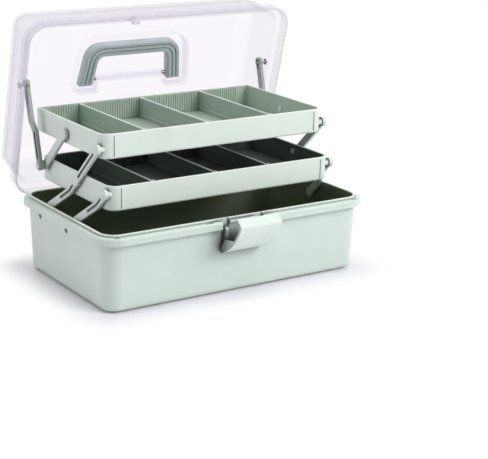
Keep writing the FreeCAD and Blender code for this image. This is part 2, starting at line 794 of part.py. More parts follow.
def combs(middle_y, bottom):
    """Combs on the inside of a tray's front and back walls."""
    half = tray_depth / 2 - tray_wall
    return [comb(middle_y - half, 1, bottom), comb(middle_y + half, -1, bottom)]


def divider_x(share):
    """Place of a divider: the comb gap nearest to a share of the tray width."""
    return comb_pitch * round(share * tray_width / comb_pitch)


def divider(x, middle_y, bottom):
    """Lift-out divider: a thin panel with a raised border, open at the top, and a small tab at the front."""
    panel = comb_pitch - comb_tooth - 2 * divider_side_gap
    half = tray_depth / 2 - tray_wall - divider_end_gap
    inner = half - comb_depth
    low = bottom + tray_floor + divider_floor_gap
    high = bottom + tray_height - divider_top_drop
    plate = box((x - panel / 2, middle_y - half, low), (x + panel / 2, middle_y + half, high))
    tab = box((x - panel / 2, middle_y - inner, high - 1),
              (x + panel / 2, middle_y - inner + divider_tab_length, high + divider_tab_rise))
    thick = panel / 2 + divider_border_rise
    border = box((x - thick, middle_y - inner, low), (x + thick, middle_y + inner, high))
    window = box((x - thick, middle_y - inner + divider_border, low + divider_border),
                 (x + thick, middle_y + inner - divider_border, high))
    return fused([plate, tab, border.cut(window)])


def tray_pins(places):
    """Headed pins from a tray into its links: places give (y, z), outer end and cap, front pair first."""
    pins = []
    for index, (place, end, capped) in enumerate(places):
        head_seat = tray_face - (tray_wall if index else tray_front_corner)
        shank = rod(pin_radius, head_seat - pin_head_height / 2, end, place)
        head = rod(pin_head_radius, head_seat - pin_head_height, head_seat, place)
        cap = [rod(rear_pin_cap_radius, end - rear_pin_cap_height, end, place)] if capped else []
        pin = fused([shank, head] + cap)
        pins += [pin, mirrored(pin)]
    return Part.makeCompound(pins)


def base_pins():
    """Four pins through the base walls into the wall pads of the base links."""
    pins = []
    for place in (base_rear, base_front):
        end = base_wall_x(place[1]) - base_pin_recess
        pin = rod(pin_radius, wall_layer + link_skin + pin_end_gap, end, place)
        pins += [pin, mirrored(pin)]
    return Part.makeCompound(pins)


def lid_link_pins():
    """Two headed pins through the lid walls into the slots of the lid links."""
    closed = lid_pivot_closed()
    seat = lid_head_seat()
    shank = rod(lid_pin_radius, lid_link_outer() - link_thickness, seat + lid_pin_head_height / 2, closed)
    head = rod(lid_pin_head_radius, seat, seat + lid_pin_head_height, closed)
    pin = opened_lid(fused([shank, head]))
    return Part.makeCompound([pin, mirrored(pin)])


def hinge_pins():
    """Two pins on the lid's axis."""
    return Part.makeCompound([rod(hinge_pin_radius, low + pin_end_gap, high - pin_end_gap, (hinge_y, hinge_z))
                              for low, high in hinge_spans()])


def latch_pins():
    """Two short pins that carry the latch on its lugs."""
    return Part.makeCompound([rod(latch_pin_radius, low + pin_end_gap, high - pin_end_gap, latch_pivot())
                              for low, high in latch_pin_spans()])


def level_bar(length, half_width, x_low, x_high):
    """Bar with round bosses, lying forward along -Y from the origin."""
    bar = box((x_low, -length, -half_width), (x_high, 0, half_width))
    ends = [rod(link_boss_radius, x_low, x_high, (0, 0)), rod(link_boss_radius, x_low, x_high, (-length, 0))]
    return fused([bar] + ends)


def joggle(start_layer, end_layer, start, run, length):
    """Plan-view strip that steps from one side-view layer to another, thick enough for any link."""
    reach = 2 * link_boss_radius
    y_start = -start
    y_end = -start - run
    corners = [(start_layer, reach), (start_layer, y_start), (end_layer, y_end), (end_layer, -length - reach)]
    back = [(x + link_thickness, y) for x, y in reversed(corners)]
    wire = rounded_wire([(x, y, 0) for x, y in corners + back], lambda x, y: vec(x, y, -reach))
    return Part.Face(wire).extrude(vec(0, 0, 2 * reach))


def groove(start, end, path):
    """Lengthwise groove along a level bar, cut as deep as a joggled path."""
    half = link_groove_width / 2
    window = box((inner_layer, -end, -half), (rim_width / 2, -start, half))
    return window.common(path)


def dome(at, face):
    """Domed cap on the outer face of a level bar, over a pivot."""
    ball = (link_dome_radius ** 2 + link_dome_height ** 2) / (2 * link_dome_height)
    sphere = Part.makeSphere(ball, vec(face + link_dome_height - ball, -at, 0))
    reach = 2 * link_dome_radius
    return sphere.common(box((face - link_skin / 2, -at - reach, -reach), (face + reach, -at + reach, reach)))


def pivot_hole(at, x_low, x_high):
    """Running hole for a pivot pin in a level bar."""
    return rod(pin_radius + pin_running_gap, x_low, x_high, (-at, 0))


def placed_link(shape, start, lean_degrees):
    """A level bar turned to its open lean, with its first pivot at a side-view place."""
    shape.rotate(ORIGIN, X_AXIS, -lean_degrees)
    shape.translate(vec(0, start[0], start[1]))
    return shape


def base_link(start, length, pivots):
    """Link from the base wall to a tray: wall pad, joggle, then a grooved arm with the given pivots."""
    low = inner_layer - 1
    high = wall_layer + link_thickness + 1
    bar = level_bar(length, link_width / 2, low, high)
    bar = fused([bar] + [rod(link_boss_radius, low, high, (-at, 0)) for at in pivots])
    bar = bar.common(joggle(wall_layer, inner_layer, joggle_start, joggle_run, length))
    face = inner_layer + link_thickness
    cuts = [pivot_hole(0, wall_layer + link_skin, high)]
    inset = link_thickness - link_groove_depth
    path = joggle(wall_layer + inset, inner_layer + inset, joggle_start, joggle_run, length)
    stops = [joggle_start + joggle_run - link_groove_lead - link_groove_margin] + list(pivots)
    for near, far in zip(stops, stops[1:]):
        cuts.append(groove(near + link_groove_margin, far - link_groove_margin, path))
    cuts += [pivot_hole(at, low, face - link_skin) for at in pivots]
    bar = bar.cut(Part.makeCompound(cuts))
    bar = fused([bar, dome(pivots[-1], face)])
    return placed_link(bar, start, link_open_angle)


def upper_rear_link():
    """Plain link from the lower tray's rear pivot to the upper tray."""
    face = inner_layer + link_thickness
    bar = level_bar(upper_link_length, link_width / 2, inner_layer, face)
    cuts = [pivot_hole(0, inner_layer - 1, face + 1)]
    cuts.append(pivot_hole(upper_link_length, inner_layer - 1, face - link_skin))
    return placed_link(bar.cut(Part.makeCompound(cuts)).removeSplitter(), lower_rear, link_open_angle)


def lid_link():
    """Joggled link from the lower tray's rear pivot to a slot for the lid pin."""
    lean = 180 - math.degrees(math.atan2(lid_pivot[1] - lower_rear[1], lid_pivot[0] - lower_rear[0]))
    end_layer = lid_link_outer() - link_thickness
    low = second_layer - 1
    high = end_layer + link_thickness + 1
    length = lid_pin_runs()[1] + lid_slot_end_play
    bar = level_bar(length, link_width / 2, low, high)
    bar = bar.common(joggle(second_layer, end_layer, lid_link_joggle_start, lid_link_joggle_run, length))
    half = lid_pin_radius + lid_slot_side_play
    near = lid_pin_runs()[0] - lid_slot_end_play
    slot = fused([box((low, -length, -half), (high, -near, half)), rod(half, low, high, (-length, 0)),
                  rod(half, low, high, (-near, 0))])
    inset = link_thickness - link_groove_depth
    path = joggle(second_layer + inset, end_layer + inset, lid_link_joggle_start, lid_link_joggle_run, length)
    cuts = [pivot_hole(0, low, high), slot, groove(link_groove_margin, lid_link_joggle_start, path)]
    return placed_link(bar.cut(Part.makeCompound(cuts)).removeSplitter(), lower_rear, lean)


def latch_bow(inset, top, x):
    """Bowed side-view line of the closed latch, from its foot up, an inset behind its outside."""
    rise = top - latch_bottom_z
    outs = (latch_foot_out, latch_bow_out, latch_head_out)
    heights = (latch_bottom_z, latch_bottom_z + latch_bow_share * rise, top)
    return Part.Arc(*[vec(x, -half_rim_y - out + inset, z) for out, z in zip(outs, heights)])


def latch():
    """Flip latch: bowed plate with a rolled top lip and two cheeks, in the open pose."""
    lip_low = shelf_z + latch_lip_gap
    top = lip_low + latch_lip_thickness
    left = -latch_width / 2
    lip_end = -half_rim_y + latch_lip_reach
    outside = latch_bow(0.0, top, left)
    inside = latch_bow(latch_plate, lip_low, left)
    rim = Part.makePolygon([outside.EndPoint, vec(left, lip_end, top), vec(left, lip_end, lip_low), inside.EndPoint])
    foot = Part.makeLine(inside.StartPoint, outside.StartPoint)
    wire = Part.Wire([outside.toShape()] + rim.Edges + [inside.toShape(), foot])
    plate = Part.Face(wire).extrude(vec(latch_width, 0, 0))
    plate = plate.makeFillet(latch_roll, cross_edges(plate, outside.EndPoint))
    plate = plate.makeFillet(latch_roll_inner, cross_edges(plate, inside.EndPoint))
    rounded = [vec(left, lip_end, top), vec(left, lip_end, lip_low)]
    plate = plate.makeFillet(latch_edge_round, sum([cross_edges(plate, point) for point in rounded], []))
    body = fused([plate] + latch_cheeks(outside))
    holes = [rod(latch_pin_radius + pin_running_gap, low, high, latch_pivot())
             for low, high in latch_pin_spans()]
    body = body.cut(Part.makeCompound(holes)).removeSplitter()
    return turned(body, latch_pivot(), latch_stop_angle())


def cross_edges(solid, point):
    """Edges of a solid that run across the box at a point's place in the side view."""
    found = []
    for edge in solid.Edges:
        place = edge.BoundBox
        off = abs(place.YMin - point.y) + abs(place.YMax - point.y)
        off += abs(place.ZMin - point.z) + abs(place.ZMax - point.z)
        if off < 1e-3:
            found.append(edge)
    return found


def latch_cheeks(outside):
    """Side cheeks that stiffen the latch and hold its pivot, behind the lower part of its outside line."""
    first = outside.FirstParameter
    span = (outside.LastParameter - first) * latch_cheek_share
    low, middle, high = [outside.value(first + span * share) for share in (0.0, 0.5, 1.0)]
    peak = vec(low.x, -half_rim_y + latch_cheek_back, latch_bottom_z + latch_cheek_rise)
    toe = vec(low.x, *latch_toe())
    back = Part.makePolygon([high, peak, toe, low])
    cheek = Part.Face(Part.Wire([Part.Arc(low, middle, high).toShape()] + back.Edges)).extrude(vec(latch_cheek, 0, 0))
    cheek = cheek.makeFillet(latch_edge_round, cross_edges(cheek, peak) + cross_edges(cheek, toe))
    hub = rod(latch_hub_radius, low.x, low.x + latch_cheek, latch_pivot())
    return [cheek, hub, mirrored(cheek), mirrored(hub)]


def both_sides(name, shape):
    """Right-hand piece and its mirror image, by name."""
    return {name + "_right": shape, name + "_left": mirrored(shape)}


def all_pieces():
    """Every piece of the box in the rest pose, by name."""
    lower_pivots = (lower_front, lower_middle, lower_rear)
    upper_pivots = (upper_front, upper_rear)
    inner_end = inner_layer + link_thickness - link_skin - pin_end_gap
    cap_end = second_layer + link_thickness + pin_end_gap + rear_pin_cap_height
    pieces = {
        "base_shell": base_shell(),
        "base_pivot_pins": base_pins(),
        "lid_shell": lid_shell(),
        "lid_hinge_pins": hinge_pins(),
        "lid_link_pins": lid_link_pins(),
        "carry_handle": handle(),
        "handle_pins": handle_pins(),
        "front_latch": latch(),
        "latch_pins": latch_pins(),
        "lower_tray": tray_body(lower_tray_middle_y, lower_tray_bottom, lower_pivots),
        "upper_tray": tray_body(upper_tray_middle_y, upper_tray_bottom, upper_pivots),
        "lower_tray_pins": tray_pins([(lower_front, inner_end, False), (lower_middle, inner_end, False),
                                      (lower_rear, cap_end, True)]),
        "upper_tray_pins": tray_pins([(upper_front, inner_end, False), (upper_rear, inner_end, False)]),
    }
    pieces.update(both_sides("front_link", base_link(base_front, lower_link_length, (lower_link_length,))))
    long_length = lower_link_length + upper_link_length
    long_pivots = (lower_link_length, long_length)
    pieces.update(both_sides("long_link", base_link(base_rear, long_length, long_pivots)))
    pieces.update(both_sides("upper_rear_link", upper_rear_link()))
    pieces.update(both_sides("lid_link", lid_link()))
    for number, share in enumerate(lower_divider_shares, 1):
        pieces[f"lower_divider_{number}"] = divider(divider_x(share), lower_tray_middle_y, lower_tray_bottom)
    for number, share in enumerate(upper_divider_shares, 1):
        pieces[f"upper_divider_{number}"] = divider(divider_x(share), upper_tray_middle_y, upper_tray_bottom)
    return pieces


def main():
    """Write one STEP file per piece."""
    os.makedirs("parts", exist_ok=True)
    for name, shape in all_pieces().items():
        print(name, "solids", len(shape.Solids), "volume", round(shape.Volume), "valid", shape.isValid())
        shape.exportStep(os.path.join("parts", name + ".step"))


main()
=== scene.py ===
"""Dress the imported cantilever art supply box: moulded plastics, clear lid, studio and camera.

Metres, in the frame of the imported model: origin at the centre of the base underside, +X to the
right, -Y to the front, +Z up. The rest pose is the open box.
"""
from __future__ import annotations

import json
import logging
import math
from dataclasses import dataclass
from enum import Enum
from typing import Optional, Union

import bmesh
import bpy
from mathutils import Matrix, Vector

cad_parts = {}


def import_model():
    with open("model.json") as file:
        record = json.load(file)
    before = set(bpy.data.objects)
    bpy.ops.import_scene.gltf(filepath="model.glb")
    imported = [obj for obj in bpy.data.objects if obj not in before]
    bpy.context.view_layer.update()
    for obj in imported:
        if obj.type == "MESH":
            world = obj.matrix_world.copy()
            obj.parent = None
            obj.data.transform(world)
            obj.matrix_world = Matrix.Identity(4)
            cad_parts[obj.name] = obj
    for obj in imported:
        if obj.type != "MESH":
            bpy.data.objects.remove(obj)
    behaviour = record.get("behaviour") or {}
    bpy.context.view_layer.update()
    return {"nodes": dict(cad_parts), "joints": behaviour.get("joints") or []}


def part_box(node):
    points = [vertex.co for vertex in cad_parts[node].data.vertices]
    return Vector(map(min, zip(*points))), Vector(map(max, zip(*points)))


LOG = logging.getLogger("art_box")
MM = 0.001
NOISE_MIDDLE = 0.5
NOISE_ROUGHNESS = 0.55
CREASE_SAMPLES = 6
Colour = tuple[float, float, float]
Place = tuple[float, float, float]
Span = tuple[float, float]
Box = tuple[Vector, Vector]
Nodes = dict[str, bpy.types.Object]
WHITE: Colour = (1.0, 1.0, 1.0)
LATCH_SHADE_HALF = 30.0 * MM


def srgb(red: int, green: int, blue: int) -> Colour:
    """Linear colour of a display colour, by the sRGB curve.

    Args:
        red: Red level from 0 to 255.
        green: Green level from 0 to 255.
        blue: Blue level from 0 to 255.

    Returns:
        The linear colour.
    """
    def linear(level: int) -> float:
        """Linear value of one level."""
        share = level / 255.0
        return share / 12.92 if share <= 0.04045 else ((share + 0.055) / 1.055) ** 2.4
    return (linear(red), linear(green), linear(blue))


def shaded(colour: Colour, share: float) -> Colour:
    """A colour taken down to a share of its level."""
    return (colour[0] * share, colour[1] * share, colour[2] * share)


class Value:
    """A shader value that adds Math nodes when it is used in arithmetic."""

    def __init__(self, graph: Graph, socket: bpy.types.NodeSocket) -> None:
        """Wrap one output socket of a graph."""
        self.graph = graph
        self.socket = socket

    def math(self, operation: str, first: Operand, second: Operand = 0.0) -> Value:
        """Result of one Math node."""
        return self.graph.node("ShaderNodeMath", {"operation": operation}, {0: first, 1: second})

    def __add__(self, other: Operand) -> Value:
        """This value plus another."""
        return self.math("ADD", self, other)

    def __radd__(self, other: float) -> Value:
        """A number plus this value."""
        return self.math("ADD", other, self)

    def __sub__(self, other: Operand) -> Value:
        """This value less another."""
        return self.math("SUBTRACT", self, other)

    def __rsub__(self, other: float) -> Value:
        """A number less this value."""
        return self.math("SUBTRACT", other, self)

    def __mul__(self, other: Operand) -> Value:
        """This value times another."""
        return self.math("MULTIPLY", self, other)

    def __rmul__(self, other: float) -> Value:
        """A number times this value."""
        return self.math("MULTIPLY", other, self)

    def __abs__(self) -> Value:
        """Size of this value without its sign."""
        return self.math("ABSOLUTE", self)

    def above(self, limit: Operand) -> Value:
        """One where this value is over a limit, and zero elsewhere."""
        return self.math("GREATER_THAN", self, limit)

    def below(self, limit: Operand) -> Value:
        """One where this value is under a limit, and zero elsewhere."""
        return self.math("LESS_THAN", self, limit)

    def at_least(self, limit: Operand) -> Value:
        """The larger of this value and a limit."""
        return self.math("MAXIMUM", self, limit)

    def root(self) -> Value:
        """Square root of this value."""
        return self.math("SQRT", self)

    def ramp(self, low: float, high: float) -> Value:
        """Zero at low, one at high, smooth between."""
        sockets = {"Value": self, "From Min": low, "From Max": high, "To Min": 0.0, "To Max": 1.0}
        return self.graph.node("ShaderNodeMapRange", {"interpolation_type": "SMOOTHSTEP"}, sockets)


Operand = Union[Value, float]


class Graph:
    """Node tree of one material or of the world, filled through one method."""

    MIX_SHARE, MIX_FIRST, MIX_SECOND, MIX_COLOUR = 0, 6, 7, 2

    def __init__(self, tree: bpy.types.NodeTree) -> None:
        """Start from an empty tree."""
        self.tree = tree
        tree.nodes.clear()

    def node(self, kind: str, settings: Optional[dict[str, object]] = None,
             sockets: Optional[dict[Union[int, str], object]] = None,
             output: Union[int, str] = 0) -> Value:
        """Add a node.

        Args:
            kind: Blender's type name of the node.
            settings: Properties that are set before the sockets.
            sockets: Values or links of the input sockets, by number or name.
            output: The output socket that is returned.

        Returns:
            The chosen output as a value.
        """
        made = self.tree.nodes.new(kind)
        for name, setting in (settings or {}).items():
            setattr(made, name, setting)
        for key, given in (sockets or {}).items():
            socket = made.inputs[key]
            if isinstance(given, Value):
                self.tree.links.new(given.socket, socket)
            elif isinstance(given, tuple) and socket.type == "RGBA":
                socket.default_value = (*given, 1.0)
            else:
                socket.default_value = given
        return Value(self, made.outputs[output] if made.outputs else None)

    def place(self, kind: str = "Object") -> tuple[Value, Value, Value, Value]:
        """Coordinates as a vector and as three numbers.

        Args:
            kind: The coordinate that is read.

        Returns:
            The vector and its three parts.
        """
        vector = self.node("ShaderNodeTexCoord", output=kind)
        parts = self.tree.nodes.new("ShaderNodeSeparateXYZ")
        self.tree.links.new(vector.socket, parts.inputs[0])
        return (vector, *(Value(self, part) for part in parts.outputs))

    def noise(self, vector: Value, scale: float, detail: float = 3.0) -> Value:
        """Noise from 0 to 1 at a scale per metre."""
        return self.node("ShaderNodeTexNoise", None, {
            "Vector": vector, "Scale": scale, "Detail": detail, "Roughness": NOISE_ROUGHNESS})

    def openness(self, reach: float, alone: bool = True) -> Value:
        """One on open faces, less in creases that are narrower than a reach.

        Args:
            reach: Reach in metres.
            alone: Whether only the piece itself can close a crease.

        Returns:
            The open share.
        """
        settings = {"samples": CREASE_SAMPLES, "only_local": alone}
        return self.node("ShaderNodeAmbientOcclusion", settings, {"Distance": reach}, "AO")

    def ray(self, kind: str) -> Value:
        """One for rays of a kind, zero for the others."""
        return self.node("ShaderNodeLightPath", output=f"Is {kind} Ray")

    def looked_at(self) -> Value:
        """One for rays that show a surface to the viewer, zero for those that only light it."""
        return self.ray("Camera").at_least(self.ray("Glossy")).at_least(self.ray("Transmission"))

    def mix(self, share: Operand, first: Union[Value, Colour], second: Union[Value, Colour]) -> Value:
        """Colour between two colours."""
        sockets = {self.MIX_SHARE: share, self.MIX_FIRST: first, self.MIX_SECOND: second}
        return self.node("ShaderNodeMix", {"data_type": "RGBA"}, sockets, self.MIX_COLOUR)

    def blend(self, share: Operand, first: Value, second: Value) -> Value:
        """Shader between two shaders."""
        return self.node("ShaderNodeMixShader", None, {0: share, 1: first, 2: second})

    def close(self, surface: Value) -> None:
        """Join a shader to the tree's material output."""
        self.node("ShaderNodeOutputMaterial", None, {"Surface": surface})


def start_material(name: str) -> tuple[bpy.types.Material, Graph]:
    """New material with an empty node tree.

    Args:
        name: The material's name.

    Returns:
        The material and its graph.
    """
    made = bpy.data.materials.new(name)
    made.use_nodes = True
    return made, Graph(made.node_tree)


def outside(x: Value, y: Value, half_x: Operand, half_y: Operand) -> Value:
    """Distance in plan from a rectangle round the origin.

    Args:
        x: Place along the width.
        y: Place along the depth.
        half_x: Half of the rectangle's width.
        half_y: Half of the rectangle's depth.

    Returns:
        The distance, which is zero inside.
    """
    past_x = (abs(x) - half_x).at_least(0.0)
    past_y = (abs(y) - half_y).at_least(0.0)
    return (past_x * past_x + past_y * past_y).root()


class Axis(Enum):
    """Direction of the frame, by its place among the coordinates."""

    X = 0
    Z = 2


class Side(Enum):
    """Side of a band's level that takes its colour."""

    OVER = "over the level"
    UNDER = "under the level"
    OUTER = "over the level on both sides of the middle"


@dataclass(frozen=True)
class Hollow:
    """Inside of a tub, told from its outside by a rounded rectangle in plan; its colour is painted
    shade.
    """

    half_x: float
    half_y: float
    front_corner: float
    rear_corner: float
    low: float
    high: float
    colour: Colour
    middle_y: float = 0.0
    draft: float = 0.0

    def mask(self, graph: Graph) -> Value:
        """One on the inner faces, zero outside.

        Args:
            graph: The material's node graph.

        Returns:
            The mask.
        """
        _, x, y, z = graph.place()
        in_front = y.below(self.middle_y)
        corner = in_front * (self.front_corner - self.rear_corner) + self.rear_corner
        distance = outside(x, y - self.middle_y, self.half_x - corner, self.half_y - corner)
        lean = (self.high - z) * self.draft
        return distance.below(corner - lean) * z.above(self.low) * z.below(self.high)


@dataclass(frozen=True)
class Band:
    """Part of a piece beyond a level along one axis, in another colour that paints a highlight or a
    shade.
    """

    axis: Axis
    level: float
    colour: Colour
    side: Side = Side.OVER

    def mask(self, graph: Graph) -> Value:
        """One beyond the level, zero short of it.

        Args:
            graph: The material's node graph.

        Returns:
            The mask.
        """
        along = graph.place()[1 + self.axis.value]
        if self.side is Side.UNDER:
            return along.below(self.level)
        return (abs(along) if self.side is Side.OUTER else along).above(self.level)


@dataclass(frozen=True)
class FrameLine:
    """Painted highlight line round the inner edge of a divider's raised border."""

    middle_y: float
    half_y: float
    low: float
    colour: Colour
    width: float = 0.9 * MM
    slack: float = 0.05 * MM

    def mask(self, graph: Graph) -> Value:
        """One on the line, zero elsewhere.

        Args:
            graph: The material's node graph.

        Returns:
            The mask.
        """
        _, _, y, z = graph.place()
        past_window = (abs(y - self.middle_y) - self.half_y).at_least(self.low - z)
        return past_window.above(-self.slack) * past_window.below(self.width)


@dataclass(frozen=True)
class ContactShade:
    """Painted shade in the narrow room between two pieces, all over or near the middle of the front.
    """

    reach: float
    share: float
    span: Span = (0.35, 0.95)
    half_width: Optional[float] = None
    low: float = 28.0 * MM
    fade: float = 12.0 * MM

    def mask(self, graph: Graph) -> Value:
        """One in the narrow room, zero on open faces.

        Args:
            graph: The material's node graph.

        Returns:
            The mask.
        """
        closed = 1.0 - graph.openness(self.reach, alone=False).ramp(*self.span)
        if self.half_width is None:
            return closed
        _, x, y, z = graph.place()
        beside = abs(x).ramp(self.half_width, self.half_width + self.fade)
        raised = z.ramp(self.low, self.low + self.fade)
        return closed * (1.0 - beside) * raised * y.below(0.0)


@dataclass(frozen=True)
class MouldedPlastic:
    """Satin injection-moulded plastic with a fine grain, slight flow marks and painted shade in its
    creases.
    """

    name: str
    colour: Colour
    roughness: float = 0.4
    roughness_spread: float = 0.12
    ior: float = 1.46
    mottle: float = 0.05
    mottle_scale: float = 22.0
    mottle_span: Span = (0.3, 0.7)
    grain: float = 0.012 * MM
    grain_scale: float = 900.0
    grain_share: float = 0.6
    speck_scale: float = 2600.0
    # Share of the colour kept where shade is painted into the creases that the piece closes itself;
    # reach and span set which creases take it.
    crease_shade: float = 0.45
    crease_reach: float = 2.5 * MM
    crease_span: Span = (0.25, 0.85)
    # The hollow paints shade on the inner faces, and the seam test paints it darker where pieces meet
    # inside.
    hollow: Optional[Hollow] = None
    seam_shade: ContactShade = ContactShade(reach=3.5 * MM, share=0.35, span=(0.05, 0.42))
    # Bands paint highlight or shade lines.
    bands: tuple[Union[Band, FrameLine], ...] = ()
    # Shade painted where other pieces stand close.
    contact: Optional[ContactShade] = None

    def paint(self, graph: Graph, vector: Value) -> Value:
        """Colour of the plastic with painted highlight and shade bands, and painted shade in creases,
        narrow room and inner faces.

        Args:
            graph: The material's node graph.
            vector: The coordinates that the flow marks follow.

        Returns:
            The colour.
        """
        marks = graph.noise(vector, self.mottle_scale).ramp(*self.mottle_span)
        colour = graph.mix(marks, self.colour, shaded(self.colour, 1.0 - self.mottle))
        for band in self.bands:
            colour = graph.mix(band.mask(graph), colour, band.colour)
        # Shade painted into the creases that the piece closes itself.
        open_share = graph.openness(self.crease_reach).ramp(*self.crease_span)
        colour = graph.mix(open_share, shaded(self.colour, self.crease_shade), colour)
        # Shade painted where other pieces stand close.
        if self.contact is not None:
            dusk = shaded(self.colour, self.contact.share)
            colour = graph.mix(self.contact.mask(graph), colour, dusk)
        # Shade painted on the inner faces, darker still near seams and dividers.
        if self.hollow is not None:
            dusk = shaded(self.hollow.colour, self.seam_shade.share)
            inner_shade = graph.mix(self.seam_shade.mask(graph), self.hollow.colour, dusk)
            colour = graph.mix(self.hollow.mask(graph), colour, inner_shade)
        return colour

    def material(self) -> bpy.types.Material:
        """The finish as a Blender material.

        Returns:
            The material.
        """
        made, graph = start_material(self.name)
        vector = graph.place()[0]
        fine = graph.noise(vector, self.grain_scale, detail=2.0)
        specks = graph.noise(vector, self.speck_scale, detail=1.0)
        relief = fine * self.grain_share + specks * (1.0 - self.grain_share)
        bump = graph.node("ShaderNodeBump", None, {
            "Strength": 1.0, "Distance": self.grain, "Height": relief})
        rough = self.roughness + (fine - NOISE_MIDDLE) * self.roughness_spread
        graph.close(graph.node("ShaderNodeBsdfPrincipled", None, {
            "Base Color": self.paint(graph, vector), "Roughness": rough, "Normal": bump,
            "IOR": self.ior}))
        return made


@dataclass(frozen=True)
class ClearPlastic:
    """Thin clear moulding: see-through face on, milky along its edges and its skirt."""

    name: str
    tint: Colour
    milk: Colour
    hinge: Span
    open_angle: float
    rim: float
    shelf: float
    haze: float = 0.012
    haze_scale: float = 30.0
    edge: float = 0.3
    outline: float = 0.5
    facing: float = 0.5
    wall: float = 0.015
    wall_top: float = 134.0 * MM
    skirt: float = 0.045
    lip: float = 0.4
    recess_half: float = 74.5 * MM
    recess_span: Span = (-54.5 * MM, 12.0 * MM)
    recess_share: float = 0.7
    roughness: float = 0.12
    roughness_spread: float = 0.08
    ior: float = 1.4

    def closed_place(self, graph: Graph) -> tuple[Value, Value, Value]:
        """Where each point of the open lid lies when the lid is closed.

        Args:
            graph: The material's node graph.

        Returns:
            The place along the width, along the depth and over the floor.
        """
        _, x, y, z = graph.place()
        behind = y - self.hinge[0]
        over = z - self.hinge[1]
        across, along = math.cos(self.open_angle), math.sin(self.open_angle)
        depth = behind * across - over * along + self.hinge[0]
        height = behind * along + over * across + self.hinge[1]
        return x, depth, height

    def milkiness(self, graph: Graph, flow: Value) -> Value:
        """Share of light that the plastic holds back.

        Args:
            graph: The material's node graph.
            flow: Noise of the flow marks.

        Returns:
            The share, with the handle recess clearer and the skirt milkier than the rest.
        """
        x, depth, height = self.closed_place(graph)
        front, back = self.recess_span
        recess = abs(x).below(self.recess_half) * depth.above(front) * depth.below(back)
        turned_away = graph.node("ShaderNodeLayerWeight", None, {"Blend": self.facing}, "Facing")
        squared = turned_away * turned_away
        fourth = squared * squared
        milky = squared * self.edge + fourth * fourth * self.outline + flow * self.haze
        milky = milky * (1.0 - recess * (1.0 - self.recess_share))
        steps = ((self.wall_top, self.wall), (self.shelf, self.skirt), (self.rim, self.lip))
        for top, share in steps:
            milky = milky + height.below(top) * share
        return milky

    def material(self) -> bpy.types.Material:
        """The finish as a Blender material.

        Returns:
            The material.
        """
        made, graph = start_material(self.name)
        flow = graph.noise(graph.place()[0], self.haze_scale, detail=2.0)
        body = graph.node("ShaderNodeBsdfPrincipled", None, {
            "Base Color": self.milk, "IOR": self.ior,
            "Roughness": self.roughness + (flow - NOISE_MIDDLE) * self.roughness_spread})
        clear = graph.node("ShaderNodeBsdfTransparent", None, {"Color": self.tint})
        direct = 1.0 - graph.ray("Shadow").at_least(graph.ray("Diffuse"))
        graph.close(graph.blend(self.milkiness(graph, flow) * direct, clear, body))
        return made


@dataclass(frozen=True)
class PinSteel:
    """Plain drawn steel of the small pins."""

    name: str
    colour: Colour
    roughness: float = 0.3
    roughness_spread: float = 0.2
    drawn_scale: float = 1400.0

    def material(self) -> bpy.types.Material:
        """The finish as a Blender material.

        Returns:
            The material.
        """
        made, graph = start_material(self.name)
        drawn = graph.noise(graph.place()[0], self.drawn_scale, detail=2.0)
        graph.close(graph.node("ShaderNodeBsdfPrincipled", None, {
            "Base Color": self.colour, "Metallic": 1.0,
            "Roughness": self.roughness + (drawn - NOISE_MIDDLE) * self.roughness_spread}))
        return made


Finish = Union[MouldedPlastic, ClearPlastic, PinSteel]


class Tone(Enum):
    """Named colours of the box, painted highlights and painted shade among them."""

    MINT = srgb(216, 229, 220)
    # The base's mint painted lighter for the trays, standing in for the stronger light on them.
    LIT_TRAY_MINT = srgb(227, 239, 229)
    # Painted highlight along top and bottom edges.
    EDGE_HIGHLIGHT = srgb(240, 247, 242)
    LINK = srgb(222, 230, 224)
    LID_LINK = srgb(160, 170, 162)
    LID_PIN = srgb(196, 195, 202)
    GRIP = srgb(188, 203, 198)
    LATCH = srgb(228, 241, 231)
    # Painted shade on the latch's end faces.
    LATCH_END_SHADE = srgb(180, 194, 184)
    BASE_PIN = srgb(92, 100, 94)
    # Painted shade of the tub's inside.
    TUB_INSIDE_SHADE = srgb(116, 126, 106)
    # Painted shade of the lower tray's inside and dividers, and a painted highlight line on the
    # dividers' borders.
    LOWER_INSIDE_SHADE = srgb(98, 111, 100)
    LOWER_DIVIDER_SHADE = srgb(98, 111, 101)
    LOWER_FRAME_HIGHLIGHT = srgb(128, 141, 130)
    # Painted shade of the upper tray's inside and dividers, and a painted highlight line on the
    # dividers' borders.
    UPPER_INSIDE_SHADE = srgb(182, 197, 183)
    UPPER_DIVIDER_SHADE = srgb(167, 183, 171)
    UPPER_FRAME_HIGHLIGHT = srgb(204, 217, 206)
    CLEAR = srgb(253, 252, 254)
    MILK = srgb(208, 209, 211)
    STEEL = srgb(165, 162, 170)


def wear(nodes: Nodes, names: list[str], finish: Finish) -> None:
    """Give CAD nodes a finish.

    Args:
        nodes: The frame's nodes by name.
        names: The nodes that take the finish.
        finish: The finish.
    """
    made = finish.material()
    for name in names:
        for slot in nodes[name].material_slots:
            slot.material = made
        LOG.info("%s wears %s", name, finish.name)


